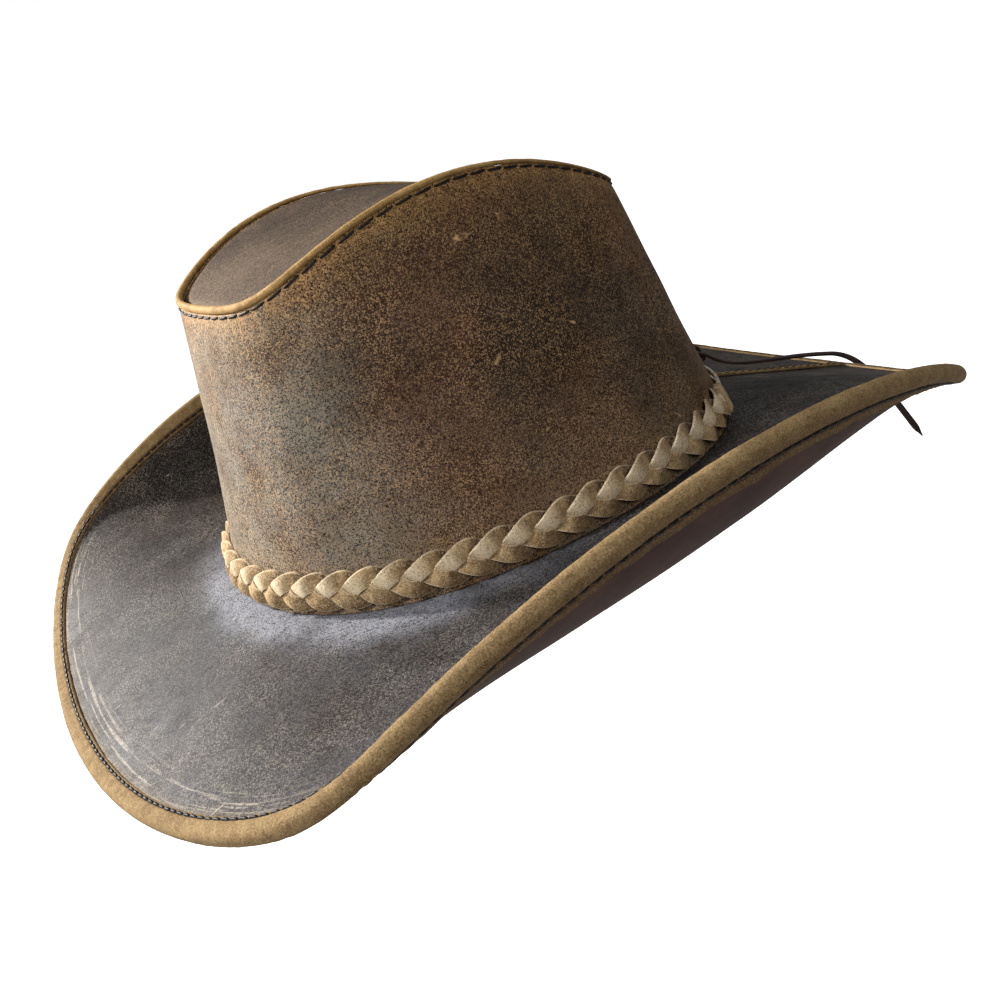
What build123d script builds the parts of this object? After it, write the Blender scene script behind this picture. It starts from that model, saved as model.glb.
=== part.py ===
from build123d import *
import math
import os

# A leather western hat. Millimetres, +Z up, front of the hat towards -Y.
# The origin is the centre of the head opening, in the plane where the crown meets the brim.
# An angle of 0 is the front centre, 90 the wearer's left (+X) and 180 the back centre.

# Crown: half width and half length of its base, and how much its corners are squared off
BASE_HALF_WIDTH = 88.0
BASE_HALF_LENGTH = 102.0
BASE_SQUARENESS = 3.2
COLLAR_DEPTH = 8.0

# Seam ring at the top of the crown, as sums of waves round the hat
RING_X = (64.5, 3.0, 3.0, 0.6, 1.3)
RING_Y_CENTRE = -6.6
RING_Y = (84.7, -6.8, -3.3)
RING_Z_CENTRE = 104.3
RING_Z = (2.7, -11.8, 1.4, 1.9)
TIP_CENTRE_Z = 116.0
TIP_ARCH = 1.8
TIP_RIM_SHARE = 0.25
TIP_FLAT_SHARE = 0.1
TIP_SHARES = (1.0, 0.8, 0.6, 0.4, 0.22, TIP_FLAT_SHARE)

# Outline of the brim, as sums of waves round the hat
EDGE_X = (174.0, 8.0, 15.0, 7.0)
EDGE_Y_CENTRE = -14.0
EDGE_Y = (188.0, -36.0, 0.0, 5.5, 1.7)
EDGE_Z_CENTRE = 7.0
EDGE_Z = (2.5, -33.0, 9.0, -0.5, -3.4)
EDGE_LEAN = (-0.7, 0.5)
# The edge sags a little on the wearer's left
SAG_DEPTH = 4.8
SAG_MIDDLE = 93.0
SAG_SHARPNESS = 17
SIDE_CURL = 3.6
FRONT_CURL = 1.1
BACK_CURL = 1.0

# Thicknesses of the leather pieces
CROWN_LEATHER = 2.0
TOP_LEATHER = 1.8
UNDER_LEATHER = 1.6
BINDING_LEATHER = 1.0
SWEATBAND_LEATHER = 1.2

# Small parts
BINDING_WIDTH = 4.6
BINDING_THREAD_INSET = 3.0
NOSE_GAP = 1.8
NOSE_EASE = 0.2
NOSE_SHOULDER = (0.8, 0.3)
FOLD_START = 0.4
WIRE_RADIUS = 0.7
THREAD_WIDTH = 0.7
THREAD_HEIGHT = 0.5
WELT_OVERHANG = 0.5
WELT_HEIGHT = 1.6
WELT_FRONT_RISE = 1.0
WELT_BEVEL = 0.7
WELT_BEVEL_SHARE = 0.7
WELT_OVERLAP = 0.3
TIP_THREAD_DROP = 1.1
CROWN_THREAD_OFFSET = 2.2
CROWN_THREAD_ENDS = (16.0, 84.0)
SWEATBAND_HEIGHT = 32.0
SWEATBAND_TAPER = 0.8
SWEATBAND_THREAD_HEIGHT = -5.0
TAB_ENDS = (-3.0, 0.0, 30.0)
TAB_HALF_WIDTH, TAB_THICKNESS, TAB_GAP = 6.0, 1.0, 0.4
SEAM_STRIP_WIDTH = 5.0
SEAM_STRIP_THICKNESS = 1.2
SEAM_THREAD_OFFSET = 1.7
SEAM_STRIP_START, SEAM_STRIP_REACH = 0.02, 0.975
SEAM_THREAD_START, SEAM_THREAD_REACH = 0.05, 0.92
SURFACE_GAP = 0.1

# Braided hat band
BAND_CLEARANCE = 0.5
BAND_HEIGHT = 8.8
BRAID_TURNS = 13.7
BRAID_SWING = 4.7
BRAID_DEPTH = 1.35
STRAND_WIDTH = 3.9
STRAND_THICKNESS = 1.0
BRAID_END = 138.0
WRAP_END = 141.0
LACE_END = 176.0
LACE_WIDTH = 3.0
LACE_THICKNESS = 1.4
LACE_SPACING = 4.4
LACE_GAP = 0.6
WRAP_TRIM = 1.0
KNOT_GAP = 1.2
KNOT_SIZE = (10.0, 6.0, 9.0)
TAIL_RADIUS = 1.6
KNOT_ROUNDING = 2.2
BEND_SHARE = 0.45

CURVE_POINTS = 36
BRIM_ROWS = 5
ANGLES = [360.0 * step / CURVE_POINTS for step in range(CURVE_POINTS)]
UP = Vector(0, 0, 1)
TINY = 0.01


def waves(angle, sizes, wave):
    """Add up waves that go once, twice, three times ... round the hat."""
    turn = math.radians(angle)
    return sum(size * wave((count + 1) * turn) for count, size in enumerate(sizes))


def crown_base(angle):
    turn = math.radians(angle)
    across = BASE_HALF_WIDTH * math.sin(turn) + BASE_SQUARENESS * math.sin(3 * turn)
    return Vector(across, -BASE_HALF_LENGTH * math.cos(turn), 0)


def crown_ring(angle):
    return Vector(
        waves(angle, RING_X, math.sin),
        RING_Y_CENTRE - waves(angle, RING_Y, math.cos),
        RING_Z_CENTRE + waves(angle, RING_Z, math.cos),
    )


def brim_edge(angle):
    share = 0.5 + 0.5 * math.cos(math.radians(angle - SAG_MIDDLE))
    height = EDGE_Z_CENTRE + waves(angle, EDGE_Z, math.cos) + waves(angle, EDGE_LEAN, math.sin)
    return Vector(
        waves(angle, EDGE_X, math.sin),
        EDGE_Y_CENTRE - waves(angle, EDGE_Y, math.cos),
        height - SAG_DEPTH * share**SAG_SHARPNESS,
    )


def outward(curve, angle):
    """Level direction that points straight out of a closed curve."""
    along = curve(angle + TINY) - curve(angle - TINY)
    return Vector(along.Y, -along.X, 0).normalized()


def inset(curve, angle, depth, rise=0.0):
    return curve(angle) - outward(curve, angle) * depth + UP * rise


def between(start, end, fraction):
    return start + (end - start) * fraction


def crown_wall(angle, height, lift=0.0):
    """Point on the crown's outer wall, height mm up its slope, lifted off it by lift."""
    slope = (crown_ring(angle) - crown_base(angle)).length
    place = between(crown_base(angle), crown_ring(angle), height / slope)
    return place + outward(crown_base, angle) * lift


def brim_top(fraction, angle):
    """Top of the brim: fraction 0 at the crown, 1 at the outline."""
    place = between(crown_base(angle), brim_edge(angle), fraction)
    side = math.sin(math.radians(angle)) ** 2
    end_curl = FRONT_CURL if math.cos(math.radians(angle)) > 0 else BACK_CURL
    curl = end_curl + (SIDE_CURL - end_curl) * side
    return Vector(place.X, place.Y, brim_edge(angle).Z * fraction**curl)


def brim_outwards(fraction, angle):
    return (brim_top(fraction, angle) - brim_top(fraction - TINY, angle)).normalized()


def brim_normal(fraction, angle):
    if fraction < TINY:
        return UP
    along = brim_top(fraction, angle + TINY) - brim_top(fraction, angle - TINY)
    return brim_outwards(fraction, angle).cross(along).normalized()


def brim_place(fraction, angle, depth):
    """Point that lies depth under the top of the brim."""
    return brim_top(fraction, angle) - brim_normal(fraction, angle) * depth


def brim_width(angle):
    return (brim_edge(angle) - crown_base(angle)).length


def bound_fraction(angle):
    """Where the edge binding starts, as a fraction of the brim's width."""
    return 1 - BINDING_WIDTH / brim_width(angle)


def nose_place(angle, reach, depth):
    """Point beyond the cut edge of the brim, inside or on the folded binding."""
    return brim_place(1, angle, depth) + brim_outwards(1, angle) * reach


def closed_curve(place):
    """Smooth closed curve through one place for each of the angles."""
    knots = [step / CURVE_POINTS for step in range(CURVE_POINTS + 1)]
    return Edge.make_spline([place(angle) for angle in ANGLES], periodic=True, parameters=knots)


def ring_solid(*places):
    """Solid whose section has one corner for each place, followed all round the hat."""
    curves = [closed_curve(place) for place in places]
    sides = zip(curves, curves[1:] + curves[:1])
    return Solid(Shell([Face.make_surface_from_curves(start, end) for start, end in sides]))


def strip_solid(sections):
    """Solid through a row of four-cornered sections."""
    return Solid.make_loft([Wire.make_polygon(corners) for corners in sections], ruled=True)


def make_crown_wrap():
    depth = CROWN_LEATHER
    return ring_solid(
        lambda a: inset(crown_base, a, 0, -COLLAR_DEPTH),
        lambda a: inset(crown_base, a, 0),
        lambda a: inset(crown_ring, a, 0),
        lambda a: inset(crown_ring, a, depth),
        lambda a: inset(crown_base, a, depth),
        lambda a: inset(crown_base, a, depth, -COLLAR_DEPTH),
    )


def welt_height(angle):
    """Height of the welt over the seam ring: tallest at the front, lowest at the back."""
    return WELT_HEIGHT + WELT_FRONT_RISE * math.cos(math.radians(angle))


def make_tip_welt():
    def corner(depth, share):
        return lambda a: inset(crown_ring, a, depth, welt_height(a) * share)

    return ring_solid(
        corner(0, 0),
        corner(CROWN_LEATHER, 0),
        corner(CROWN_LEATHER, TIP_RIM_SHARE),
        corner(CROWN_LEATHER, WELT_BEVEL_SHARE),
        corner(CROWN_LEATHER - WELT_BEVEL, 1),
        corner(WELT_OVERLAP - WELT_OVERHANG, 1),
        corner(-WELT_OVERHANG, WELT_BEVEL_SHARE),
        corner(-WELT_OVERHANG, 0),
    )


def tip_place(share, angle, drop):
    """Point on the tip panel: share 1 at the seam ring, 0 in the middle of the panel."""
    rim = inset(crown_ring, angle, CROWN_LEATHER, welt_height(angle) * TIP_RIM_SHARE)
    middle = Vector(0, RING_Y_CENTRE, TIP_CENTRE_Z)
    place = between(middle, rim, share)
    arch = share**TIP_ARCH if share > TIP_FLAT_SHARE else 0
    return Vector(place.X, place.Y, middle.Z + (rim.Z - middle.Z) * arch - drop)


def make_crown_tip():
    layers = []
    for drop in (0, CROWN_LEATHER):
        layers.append([closed_curve(lambda a: tip_place(share, a, drop)) for share in TIP_SHARES])
    faces = [Face.make_surface_from_curves(layers[0][0], layers[1][0])]
    for curves in layers:
        faces += [Face.make_surface_from_curves(one, two) for one, two in zip(curves, curves[1:])]
        faces.append(Face(Wire([curves[-1]])))
    return Solid(Shell(faces))


def make_tip_thread():
    def wall(angle, drop, lift):
        height = (crown_ring(angle) - crown_base(angle)).length - drop
        return crown_wall(angle, height, lift)

    top, bottom = TIP_THREAD_DROP, TIP_THREAD_DROP + THREAD_WIDTH
    return ring_solid(
        lambda a: wall(a, top, 0),
        lambda a: wall(a, bottom, 0),
        lambda a: wall(a, bottom, THREAD_HEIGHT),
        lambda a: wall(a, top, THREAD_HEIGHT),
    )


def make_crown_back_thread():
    """Two upright rows of thread, one each side of the joint in the crown wrap."""
    rows = []
    for side in (-1, 1):
        sections = []
        for height in CROWN_THREAD_ENDS:
            middle = crown_wall(180, height)
            near = side * CROWN_THREAD_OFFSET
            far = near + side * THREAD_WIDTH
            low, high = SURFACE_GAP, THREAD_HEIGHT
            corners = [(near, low), (far, low), (far, high), (near, high)]
            sections.append([middle + Vector(x, y, 0) for x, y in corners])
        rows.append(strip_solid(sections))
    return Compound(children=rows)


def brim_layer(top, bottom):
    """One leather layer of the brim, between two depths under its top."""
    def corner(row, depth):
        return lambda a: brim_place(bound_fraction(a) * row / BRIM_ROWS, a, depth)

    rows = range(BRIM_ROWS + 1)
    above = [corner(row, top) for row in rows] + [lambda a: brim_place(1, a, top)]
    below = [corner(row, bottom) for row in rows] + [lambda a: brim_place(1, a, bottom)]
    return ring_solid(*above, *reversed(below))


def make_edge_binding():
    """Folded leather strip that wraps the brim's edge, with room for the wire in its fold."""
    stack = TOP_LEATHER + UNDER_LEATHER
    skin = BINDING_LEATHER
    nose = NOSE_GAP + skin
    shoulder, swell = nose * NOSE_SHOULDER[0], skin * NOSE_SHOULDER[1]
    return ring_solid(
        lambda a: brim_place(bound_fraction(a), a, 0),
        lambda a: brim_place(1, a, 0),
        lambda a: nose_place(a, NOSE_GAP, NOSE_EASE),
        lambda a: nose_place(a, NOSE_GAP, stack - NOSE_EASE),
        lambda a: brim_place(1, a, stack),
        lambda a: brim_place(bound_fraction(a), a, stack),
        lambda a: brim_place(bound_fraction(a), a, stack + skin),
        lambda a: nose_place(a, NOSE_GAP * FOLD_START, stack + skin),
        lambda a: nose_place(a, shoulder, stack + swell),
        lambda a: nose_place(a, nose, stack / 2),
        lambda a: nose_place(a, shoulder, -swell),
        lambda a: nose_place(a, NOSE_GAP * FOLD_START, -skin),
        lambda a: brim_place(bound_fraction(a), a, -skin),
    )


def make_edge_thread(above):
    """Row of thread along the binding, above or below the brim."""
    stack = TOP_LEATHER + UNDER_LEATHER
    face = -BINDING_LEATHER if above else stack + BINDING_LEATHER
    rise = THREAD_HEIGHT if above else -THREAD_HEIGHT
    fold = NOSE_GAP * FOLD_START

    def corner(inward, lift):
        share = (BINDING_WIDTH - inward) / (BINDING_WIDTH + fold)

        def place(angle):
            start = brim_place(bound_fraction(angle), angle, face)
            flat = between(start, nose_place(angle, fold, face), share)
            return flat + brim_normal(bound_fraction(angle), angle) * lift

        return place

    near, far = BINDING_THREAD_INSET, BINDING_THREAD_INSET + THREAD_WIDTH
    return ring_solid(corner(near, 0), corner(far, 0), corner(far, rise), corner(near, rise))


def make_brim_wire():
    stack = TOP_LEATHER + UNDER_LEATHER
    corners = []
    for step in range(6):
        turn = math.radians(60 * step)
        reach = NOSE_GAP / 2 + WIRE_RADIUS * math.cos(turn)
        depth = stack / 2 + WIRE_RADIUS * math.sin(turn)
        corners.append(lambda a, reach=reach, depth=depth: nose_place(a, reach, depth))
    return ring_solid(*corners)


def make_seam_strip():
    """Strip that covers the joint in the brim's top leather at the back centre."""
    half = SEAM_STRIP_WIDTH / 2
    sections = []
    for row in range(BRIM_ROWS + 1):
        fraction = bound_fraction(180) * (SEAM_STRIP_START + SEAM_STRIP_REACH * row / BRIM_ROWS)
        low = brim_place(fraction, 180, -SURFACE_GAP)
        high = brim_place(fraction, 180, -SURFACE_GAP - SEAM_STRIP_THICKNESS)
        side = Vector(half, 0, 0)
        sections.append([low - side, low + side, high + side, high - side])
    return strip_solid(sections)


def make_seam_thread():
    rows = []
    for offset in (-SEAM_THREAD_OFFSET, SEAM_THREAD_OFFSET):
        sections = []
        for row in range(BRIM_ROWS + 1):
            along = SEAM_THREAD_START + SEAM_THREAD_REACH * row / BRIM_ROWS
            fraction = bound_fraction(180) * along
            base = -SURFACE_GAP * 2 - SEAM_STRIP_THICKNESS
            low = brim_place(fraction, 180, base) + Vector(offset, 0, 0)
            high = brim_place(fraction, 180, base - THREAD_HEIGHT) + Vector(offset, 0, 0)
            side = Vector(THREAD_WIDTH / 2, 0, 0)
            sections.append([low - side, low + side, high + side, high - side])
        rows.append(strip_solid(sections))
    return Compound(children=rows)


def sweatband_place(angle, height, depth):
    """Point behind the crown wrap's inner face, height mm above the head opening."""
    share = max(height, 0) / SWEATBAND_HEIGHT
    wall_top = crown_wall(angle, SWEATBAND_HEIGHT)
    wall = between(crown_base(angle), wall_top, share)
    low = UP * min(height, 0)
    return wall + low - outward(crown_base, angle) * (CROWN_LEATHER + depth + SWEATBAND_TAPER * share)


def make_sweatband():
    skin = SWEATBAND_LEATHER
    return ring_solid(
        lambda a: sweatband_place(a, -COLLAR_DEPTH, 0),
        lambda a: sweatband_place(a, 0, 0),
        lambda a: sweatband_place(a, SWEATBAND_HEIGHT, 0),
        lambda a: sweatband_place(a, SWEATBAND_HEIGHT, skin),
        lambda a: sweatband_place(a, 0, skin),
        lambda a: sweatband_place(a, -COLLAR_DEPTH, skin),
    )


def make_sweatband_thread():
    skin = SWEATBAND_LEATHER
    low = SWEATBAND_THREAD_HEIGHT
    high = low + THREAD_WIDTH
    return ring_solid(
        lambda a: sweatband_place(a, low, skin),
        lambda a: sweatband_place(a, high, skin),
        lambda a: sweatband_place(a, high, skin + THREAD_HEIGHT),
        lambda a: sweatband_place(a, low, skin + THREAD_HEIGHT),
    )


def make_sweatband_joint():
    """Short upright leather strip that covers the sweatband's joint at the back."""
    sections = []
    for height in TAB_ENDS:
        face = sweatband_place(180, height, SWEATBAND_LEATHER + TAB_GAP)
        side = Vector(TAB_HALF_WIDTH, 0, 0)
        thick = Vector(0, -TAB_THICKNESS, 0)
        sections.append([face - side, face + side, face + side + thick, face - side + thick])
    return strip_solid(sections)


def band_place(angle, height, lift):
    """Point of the hat band: height up the crown wall, lift off the wall."""
    return crown_wall(angle, height, lift)


BAND_LIFT = BAND_CLEARANCE + BRAID_DEPTH + STRAND_THICKNESS / 2


def strand_section(index, angle):
    """Four corners of one strand where it passes an angle."""
    share = (angle + BRAID_END) / (2 * BRAID_END)
    phase = 2 * math.pi * (BRAID_TURNS * share + index / 3)
    height = BAND_HEIGHT + BRAID_SWING * math.sin(phase)
    lift = BAND_LIFT + BRAID_DEPTH * math.sin(2 * phase)
    pitch = 2 * BRAID_END * math.radians(BASE_HALF_LENGTH) / BRAID_TURNS
    lean = math.atan(BRAID_SWING * 2 * math.pi / pitch * math.cos(phase))
    lean *= min(1, 12 * share, 12 * (1 - share))
    sideways = STRAND_WIDTH / 2 * math.sin(lean)
    upwards = STRAND_WIDTH / 2 * math.cos(lean)
    turn = math.degrees(sideways / BASE_HALF_LENGTH)
    corners = []
    for edge, face in ((-1, -1), (1, -1), (1, 1), (-1, 1)):
        place_angle = angle - edge * turn
        place_lift = lift + face * STRAND_THICKNESS / 2
        corners.append(band_place(place_angle, height + edge * upwards, place_lift))
    return corners


def flat_face(*corners):
    return Face(Wire.make_polygon(corners))


def make_strand(index):
    """One flat lace of the braid, swinging up and down and in and out as it is plaited."""
    count = round(BRAID_TURNS * 8)
    angles = [-BRAID_END + 2 * BRAID_END * step / count for step in range(count + 1)]
    sections = [strand_section(index, angle) for angle in angles]
    faces = []
    for here, there in zip(sections, sections[1:]):
        for corner in range(4):
            after = (corner + 1) % 4
            faces.append(flat_face(here[corner], here[after], there[after]))
            faces.append(flat_face(here[corner], there[after], there[corner]))
    for end in (sections[0], sections[-1]):
        faces.append(flat_face(end[0], end[1], end[2]))
        faces.append(flat_face(end[0], end[2], end[3]))
    return Solid(Shell(faces))


def band_block(start, end, height, width, low, high):
    """Piece of the band that follows the wall between two angles."""
    steps = max(1, round(abs(end - start) / 4))
    sections = []
    for step in range(steps + 1):
        angle = start + (end - start) * step / steps
        corners = ((-1, low), (1, low), (1, high), (-1, high))
        sections.append([band_place(angle, height + s * width / 2, u) for s, u in corners])
    return strip_solid(sections)


def make_band_wrap(side):
    width = 2 * BRAID_SWING + STRAND_WIDTH - WRAP_TRIM
    low = BAND_CLEARANCE
    high = 2 * BAND_LIFT - BAND_CLEARANCE
    return band_block(side * BRAID_END, side * WRAP_END, BAND_HEIGHT, width, low, high)


def make_tie_lace(side):
    """The doubled lace that runs from one end of the braid to the knot."""
    low = BAND_CLEARANCE + LACE_GAP
    laces = []
    for row in (-0.5, 0.5):
        height = BAND_HEIGHT + row * LACE_SPACING
        start, end = side * WRAP_END, side * LACE_END
        laces.append(band_block(start, end, height, LACE_WIDTH, low, low + LACE_THICKNESS))
    return Compound(children=laces)


def knot_centre():
    lift = BAND_CLEARANCE + KNOT_GAP + KNOT_SIZE[1] / 2
    return band_place(180, BAND_HEIGHT, lift)


def make_knot():
    block = Box(*KNOT_SIZE)
    return Pos(knot_centre()) * fillet(block.edges().filter_by(Axis.Y), KNOT_ROUNDING)


# Routes of the two loose lace tails, straight out of the knot and over the back of the brim
KNOT_FACE = knot_centre().Y + KNOT_SIZE[1] / 2
LONG_TAIL = [
    (-2, KNOT_FACE, 7), (-2, KNOT_FACE + 12, 7), (-3, 131, -3), (-7, 145, -10),
    (-11, 161, -15.8), (-13, 179, -21.3), (-11, 196, -26), (-4, 213, -31.5), (5, 222, -49),
    (13, 225, -64), (20, 229, -80),
]
SHORT_TAIL = [
    (-2, KNOT_FACE, 10.8), (-2, KNOT_FACE + 10, 10.8), (-9, 127, 3), (-19, 137, -5),
    (-31, 145, -10.5),
]


def tail_tube(route):
    """Round tube of the lace's width along straight runs joined by arcs."""
    points = [Vector(*point) for point in route]
    radii = []
    for before, here, after in zip(points, points[1:], points[2:]):
        arriving, leaving = here - before, after - here
        half_turn = math.radians(arriving.get_angle(leaving)) / 2
        radii.append(BEND_SHARE * min(arriving.length, leaving.length) / math.tan(half_turn))
    print("tail bend radii", [round(radius, 1) for radius in radii])
    path = FilletPolyline(*points, radius=radii)
    section = Plane(origin=points[0], z_dir=points[1] - points[0]) * Circle(TAIL_RADIUS)
    tube = sweep(section, path=path)
    print("tail length", round(path.length, 1), "volume", round(tube.volume, 1))
    print("section times length", round(math.pi * TAIL_RADIUS**2 * path.length, 1))
    return tube


def make_parts():
    under = TOP_LEATHER + UNDER_LEATHER
    parts = {
        "crown_wrap": make_crown_wrap(),
        "crown_tip": make_crown_tip(),
        "tip_welt": make_tip_welt(),
        "tip_thread": make_tip_thread(),
        "crown_back_thread": make_crown_back_thread(),
        "brim_top_leather": brim_layer(0, TOP_LEATHER),
        "brim_under_leather": brim_layer(TOP_LEATHER, under),
        "edge_binding": make_edge_binding(),
        "edge_thread_top": make_edge_thread(True),
        "edge_thread_under": make_edge_thread(False),
        "brim_wire": make_brim_wire(),
        "brim_seam_strip": make_seam_strip(),
        "brim_seam_thread": make_seam_thread(),
        "sweatband": make_sweatband(),
        "sweatband_thread": make_sweatband_thread(),
        "sweatband_joint_cover": make_sweatband_joint(),
        "band_wrap_left": make_band_wrap(1),
        "band_wrap_right": make_band_wrap(-1),
        "tie_lace_left": make_tie_lace(1),
        "tie_lace_right": make_tie_lace(-1),
        "lace_knot": make_knot(),
        "lace_tail_long": tail_tube(LONG_TAIL),
        "lace_tail_short": tail_tube(SHORT_TAIL),
    }
    for index in range(3):
        parts[f"braid_strand_{index + 1}"] = make_strand(index)
    return parts


os.makedirs("parts", exist_ok=True)
for name, shape in make_parts().items():
    export_step(shape, f"parts/{name}.step")
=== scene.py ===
import bpy
import math
import numpy as np
from mathutils import Matrix, Vector, noise


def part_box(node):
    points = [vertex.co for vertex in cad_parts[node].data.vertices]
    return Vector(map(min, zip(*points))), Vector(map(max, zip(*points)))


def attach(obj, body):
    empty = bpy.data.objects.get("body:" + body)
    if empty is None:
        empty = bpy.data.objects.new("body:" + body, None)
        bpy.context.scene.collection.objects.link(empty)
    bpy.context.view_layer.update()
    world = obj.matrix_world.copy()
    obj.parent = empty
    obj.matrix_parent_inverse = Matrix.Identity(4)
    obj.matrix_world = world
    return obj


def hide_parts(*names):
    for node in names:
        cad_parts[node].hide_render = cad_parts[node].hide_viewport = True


# The visual model of a leather western hat, in metres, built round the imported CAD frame.
# An angle of 0 is the front centre (-Y), 90 degrees the wearer's left (+X), 180 the back.

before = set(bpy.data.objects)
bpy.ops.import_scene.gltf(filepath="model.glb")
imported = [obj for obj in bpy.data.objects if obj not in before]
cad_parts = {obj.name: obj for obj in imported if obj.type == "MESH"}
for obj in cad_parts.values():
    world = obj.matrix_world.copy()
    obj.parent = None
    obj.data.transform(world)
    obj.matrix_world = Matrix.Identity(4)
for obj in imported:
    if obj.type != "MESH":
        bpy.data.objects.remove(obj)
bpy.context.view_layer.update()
MM = 0.001

# Outlines of the hat, the same driving dimensions as the CAD model's
BASE_HALF_WIDTH = 88.0 * MM
BASE_HALF_LENGTH = 102.0 * MM
BASE_SQUARENESS = 3.2 * MM
COLLAR_DEPTH = 8.0 * MM
RING_X = np.array([64.5, 3.0, 3.0, 0.6, 1.3]) * MM
RING_Y_CENTRE = -6.6 * MM
RING_Y = np.array([84.7, -6.8, -3.3]) * MM
RING_Z_CENTRE = 104.3 * MM
RING_Z = np.array([2.7, -11.8, 1.4, 1.9]) * MM
TIP_CENTRE_Z = 116.0 * MM
TIP_ARCH = 1.8
EDGE_X = np.array([174.0, 8.0, 15.0, 7.0]) * MM
EDGE_Y_CENTRE = -14.0 * MM
EDGE_Y = np.array([188.0, -36.0, 0.0, 5.5, 1.7]) * MM
EDGE_Z_CENTRE = 7.0 * MM
EDGE_Z = np.array([2.5, -33.0, 9.0, -0.5, -3.4]) * MM
EDGE_LEAN = np.array([-0.7, 0.5]) * MM
SAG_DEPTH = 4.8 * MM
SAG_MIDDLE = math.radians(93)
SAG_SHARPNESS = 17
SIDE_CURL = 3.6
FRONT_CURL = 1.1
BACK_CURL = 1.0

# Leather thicknesses and small sizes
CROWN_LEATHER = 2.0 * MM
TOP_LEATHER = 1.8 * MM
UNDER_LEATHER = 1.6 * MM
BRIM_STACK = TOP_LEATHER + UNDER_LEATHER
BINDING_LEATHER = 1.0 * MM
BINDING_WIDTH = 4.6 * MM
TOP_STITCH_INSET = 3.1 * MM
UNDER_STITCH_INSET = 2.4 * MM
FLAP_WIDTH = 6.0 * MM
NOSE_GAP = 1.8 * MM
WELT_HEIGHT = 1.6 * MM
WELT_FRONT_RISE = 1.0 * MM
TIP_RIM_SHARE = 0.25
TIP_STITCH_DROP = 0.9 * MM
SWEATBAND_HEIGHT = 32.0 * MM
SWEATBAND_LEATHER = 1.1 * MM
SEAM_PINCH = 0.28 * MM
SEAM_PINCH_SHARE = 0.022
SEAM_STRIP_HALF_WIDTH = 2.4 * MM

# Stitches: how many, how much of each gap one fills, and the two upright rows at the back
TIP_STITCHES = 70
EDGE_STITCHES = 284
SWEATBAND_STITCHES = 150
SEAM_STITCHES = 21
BACK_STITCHES = 15
STITCH_SHARE = 0.86
BACK_STITCH_FOOT = 16.0 * MM
BACK_STITCH_PITCH = 4.5 * MM
BACK_STITCH_LENGTH = 3.4 * MM
BACK_STITCH_ASIDE = 2.5 * MM

# The braided band
BAND_HEIGHT = 8.8 * MM
BAND_LIFT = 2.35 * MM
BRAID_END = math.radians(138)
WRAP_END = math.radians(141)
LACE_END = math.radians(176)
BRAID_TURNS = 13.7
BRAID_SWING = 3.7 * MM
BRAID_DEPTH = 1.25 * MM
BRAID_RIDGE = 0.9 * MM
BRAID_TILT = math.radians(6)
STRAND_WIDTH = 5.8 * MM
STRAND_THICKNESS = 0.9 * MM
WRAP_TURNS = 3
TIE_HALF_GAP = 2.2 * MM
TAIL_WIDTH = 3.2 * MM
TAIL_SECTIONS = 90
TAIL_POINT = 5.0 * MM

# How mesh and materials meet: the grain's size, and where the brim's painted sheen and painted
# reflection of the lamps lie
GRAIN_SIZE = 0.34 * MM
SUNNY_SIDE = math.radians(40)
GLOW_SIDE = math.radians(18)
GLOW_WIDTH_SHARE = 0.14

# Camera and light
CAMERA_AZIMUTH, CAMERA_ELEVATION, CAMERA_ROLL = 64.31, 21.91, -17.57
CAMERA_DISTANCE = 415.6 * MM
CAMERA_SIDEWAYS, CAMERA_UPWARDS = 7.2 * MM, -9.2 * MM
CAMERA_LENS = 37.52
SKY_COLOUR = (0.88, 0.94, 1.0)
SKY_LOW, SKY_HIGH = 0.10, 0.60
FLOOR_SIZE, FLOOR_DROP = 4.0, 0.25

# Each lamp's name, azimuth, elevation, distance, size, power and colour
LAMPS = (
    ("key", -55, 27, 1.5, 0.14, 56, (1.0, 0.97, 0.93)),
    ("front", 2, 36, 1.8, 0.25, 24, (0.98, 0.98, 1.0)),
    ("fill", 80, 30, 1.8, 0.5, 7, (1.0, 0.94, 0.86)),
)

TINY = 1e-4
FULL_TURN = 2 * math.pi
BACK = np.array(math.pi)


# ---------------------------------------- shape of the hat

def waves(angle, sizes, wave):
    """Add up waves that go once, twice, three times ... round the hat."""
    return sum(size * wave((count + 1) * angle) for count, size in enumerate(sizes))


def crown_base(angle):
    across = BASE_HALF_WIDTH * np.sin(angle) + BASE_SQUARENESS * np.sin(3 * angle)
    return np.stack([across, -BASE_HALF_LENGTH * np.cos(angle), 0 * angle], -1)


def crown_ring(angle):
    return np.stack([
        waves(angle, RING_X, np.sin),
        RING_Y_CENTRE - waves(angle, RING_Y, np.cos),
        RING_Z_CENTRE + waves(angle, RING_Z, np.cos),
    ], -1)


def brim_edge(angle):
    sag = SAG_DEPTH * (0.5 + 0.5 * np.cos(angle - SAG_MIDDLE)) ** SAG_SHARPNESS
    return np.stack([
        waves(angle, EDGE_X, np.sin),
        EDGE_Y_CENTRE - waves(angle, EDGE_Y, np.cos),
        EDGE_Z_CENTRE + waves(angle, EDGE_Z, np.cos) + waves(angle, EDGE_LEAN, np.sin) - sag,
    ], -1)


def around(count):
    """Angles at equal steps in one full turn."""
    return np.linspace(0, FULL_TURN, count, endpoint=False)


def fading(distance, reach):
    """1 up to distance 0, then dying away over that reach."""
    return np.exp(-np.maximum(distance, 0) / reach)


def hump(offset, width):
    """1 where offset is 0, dying away to both sides over that width."""
    return np.exp(-(offset / width) ** 2)


def ramp(value, low, high):
    """0 up to low, 1 from high on, and even between."""
    return np.clip((value - low) / (high - low), 0, 1)


def length_of(vectors):
    return np.linalg.norm(vectors, axis=-1)


def unit(vectors):
    return vectors / length_of(vectors)[..., None]


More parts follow.
